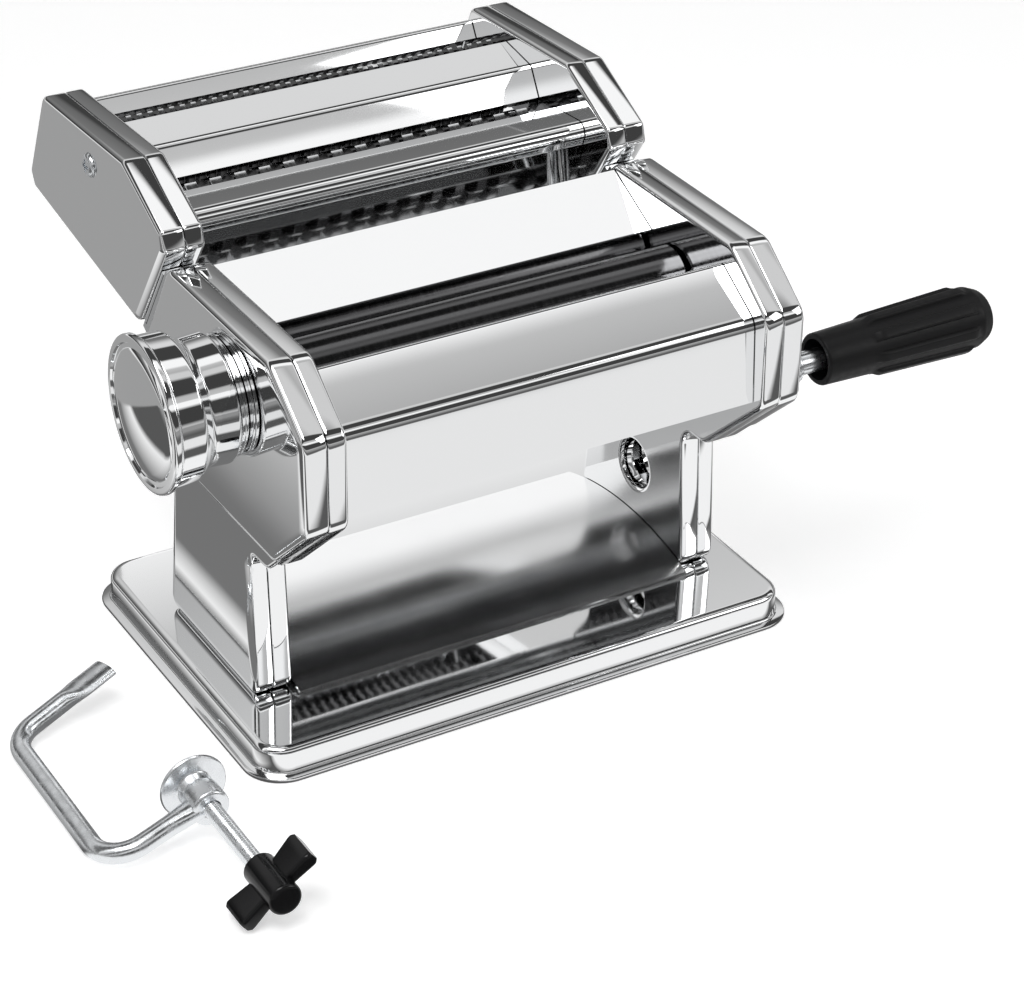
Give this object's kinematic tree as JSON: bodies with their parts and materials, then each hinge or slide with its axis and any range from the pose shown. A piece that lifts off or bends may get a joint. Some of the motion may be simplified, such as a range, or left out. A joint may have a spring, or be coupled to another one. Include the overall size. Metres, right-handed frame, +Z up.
{
  "type": "pasta machine",
  "caption": "Hand cranked pasta machine: smooth rollers in a chromed body, thickness knob, slide-on cutter head, pressed base, ribbed crank grip and a loose table clamp.",
  "frame": {"origin": "middle of the whole object's box, on the table", "axes": "+X along the rollers towards the crank, +Y to the back where the cutter head is, +Z up"},
  "size_m": [0.3508, 0.2686, 0.1715],
  "materials": {
    "chrome": "polished",
    "steel": "ground bright",
    "bush": "turned",
    "zinc": "zinc plated",
    "nylon": "moulded",
    "black_plastic": "satin moulded",
    "gloss_plastic": "glossy moulded"
  },
  "bodies": {
    "frame": {"base_plate": "chrome", "inner_plate_right": "chrome", "inner_plate_left": "chrome", "outer_cover_right": "chrome", "outer_cover_left": "chrome", "chute_tray": "chrome", "hopper_sheet": "chrome", "front_sheet": "chrome", "rear_sheet": "chrome", "tie_rod_rear": "steel", "tie_rod_lower": "steel", "leg_screw_left_front": "zinc", "leg_screw_left_rear": "zinc", "leg_screw_right_front": "zinc", "leg_screw_right_rear": "zinc", "bush_rear_right": "bush", "bush_rear_left": "bush", "bush_drive": "bush", "dial_ring": "chrome", "scraper_rear": "nylon", "head_rail_right": "steel", "head_rail_left": "steel", "clamp_frame": "zinc"},
    "drive": {"drive_shaft": "steel"},
    "crank": {"crank_arm": "zinc", "crank_pin": "zinc"},
    "grip": {"crank_grip": "black_plastic"},
    "rear_roller": {"roller_rear": "steel", "gear_rear": "steel"},
    "carriage": {"carriage_right": "steel", "carriage_left": "steel", "scraper_front": "nylon"},
    "front_roller": {"roller_front": "steel", "gear_front": "steel"},
    "regulator": {"regulator_cam": "steel"},
    "knob": {"knob_barrel": "chrome", "knob_cap": "chrome"},
    "cutter_head": {"head_plate_right": "chrome", "head_plate_left": "chrome", "head_cover_right": "chrome", "head_cover_left": "chrome", "head_rear_sheet": "chrome", "head_ridge_sheet": "chrome", "head_lower_sheet": "chrome", "head_screw": "zinc", "head_tie_rod": "steel", "head_runner_right": "steel", "head_runner_left": "steel"},
    "wide_front": {"wide_cutter_front": "steel", "wide_gear_front": "steel"},
    "wide_rear": {"wide_cutter_rear": "steel", "wide_gear_rear": "steel"},
    "fine_front": {"fine_cutter_front": "steel", "fine_gear_front": "steel"},
    "fine_rear": {"fine_cutter_rear": "steel", "fine_gear_rear": "steel"},
    "clamp_jaw": {"clamp_pad": "zinc"},
    "clamp_spindle": {"clamp_screw": "zinc", "clamp_knob": "gloss_plastic"}
  },
  "joints": [
    {"name": "drive_turn", "type": "hinge", "parent": "frame", "child": "drive", "pos_m": [0.075, 0.01748, 0.0959], "axis": [1, 0, 0], "continuous": true},
    {"name": "crank_pull", "type": "slide", "parent": "drive", "child": "crank", "axis": [1, 0, 0], "range_m": [0, 0.03]},
    {"name": "grip_spin", "type": "hinge", "parent": "crank", "child": "grip", "pos_m": [0.14, -0.05552, 0.09539], "axis": [1, 0, 0], "continuous": true},
    {"name": "rear_roller_spin", "type": "hinge", "parent": "frame", "child": "rear_roller", "pos_m": [0, 0.00448, 0.1207], "axis": [1, 0, 0], "continuous": true},
    {"name": "front_roller_gap", "type": "slide", "parent": "frame", "child": "carriage", "axis": [0, 1, 0], "range_m": [0, 0.0025]},
    {"name": "front_roller_spin", "type": "hinge", "parent": "carriage", "child": "front_roller", "pos_m": [0, -0.02232, 0.1207], "axis": [1, 0, 0], "continuous": true},
    {"name": "regulator_turn", "type": "hinge", "parent": "frame", "child": "regulator", "pos_m": [-0.1, -0.02232, 0.1207], "axis": [-1, 0, 0], "range_deg": [0, 240]},
    {"name": "knob_pull", "type": "slide", "parent": "regulator", "child": "knob", "axis": [-1, 0, 0], "range_m": [0, 0.004], "stiffness_N_per_m": 300},
    {"name": "head_slide", "type": "slide", "parent": "frame", "child": "cutter_head", "axis": [0, -0.5519, 0.8339], "range_m": [0, 0.05]},
    {"name": "wide_front_spin", "type": "hinge", "parent": "cutter_head", "child": "wide_front", "pos_m": [0, 0.05318, 0.137], "axis": [1, 0, 0], "continuous": true},
    {"name": "wide_rear_spin", "type": "hinge", "parent": "cutter_head", "child": "wide_rear", "pos_m": [0, 0.07218, 0.137], "axis": [1, 0, 0], "continuous": true},
    {"name": "fine_front_spin", "type": "hinge", "parent": "cutter_head", "child": "fine_front", "pos_m": [0, 0.09318, 0.1455], "axis": [1, 0, 0], "continuous": true},
    {"name": "fine_rear_spin", "type": "hinge", "parent": "cutter_head", "child": "fine_rear", "pos_m": [0, 0.11218, 0.1455], "axis": [1, 0, 0], "continuous": true},
    {"name": "clamp_travel", "type": "slide", "parent": "frame", "child": "clamp_jaw", "axis": [0, 1, 0], "range_m": [0, 0.03]},
    {"name": "clamp_turn", "type": "hinge", "parent": "clamp_jaw", "child": "clamp_spindle", "pos_m": [-0.13594, -0.1, 0.0115], "axis": [0, 1, 0], "range_deg": [0, 10800]}
  ],
  "couplings": [
    {"joint": "rear_roller_spin", "follows": "drive_turn", "ratio": -1.2},
    {"joint": "front_roller_spin", "follows": "drive_turn", "ratio": 1.2},
    {"joint": "front_roller_gap", "follows": "regulator_turn", "m_per_rad": 0.00059683},
    {"joint": "wide_rear_spin", "follows": "wide_front_spin", "ratio": -1},
    {"joint": "fine_rear_spin", "follows": "fine_front_spin", "ratio": -1},
    {"joint": "clamp_turn", "follows": "clamp_travel", "rad_per_m": 6283.2}
  ]
}
